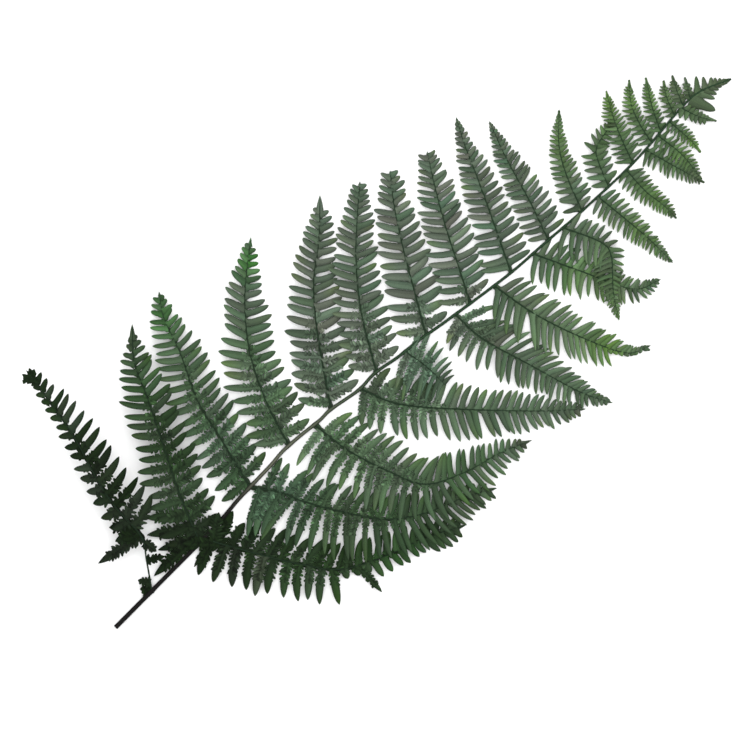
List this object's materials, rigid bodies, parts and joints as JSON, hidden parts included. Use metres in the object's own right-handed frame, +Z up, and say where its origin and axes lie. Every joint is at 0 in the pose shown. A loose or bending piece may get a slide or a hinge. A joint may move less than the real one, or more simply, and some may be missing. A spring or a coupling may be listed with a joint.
{
  "type": "preserved fern frond",
  "caption": "Pressed and preserved fern frond with a bare cut stalk and pinnate side branches of narrow leaflets, lying flat.",
  "frame": {"origin": "under the middle of the frond's box, on the surface it lies on", "axes": "+X along the frond from the cut end of its stalk to its apex, +Y to its left seen from above, +Z up off the surface"},
  "size_m": [0.5004, 0.2522, 0.0179],
  "materials": {
    "frond_green": "matte",
    "stalk_dark": "satin"
  },
  "bodies": {
    "root": {"fern_frond": "frond_green"}
  },
  "joints": []
}
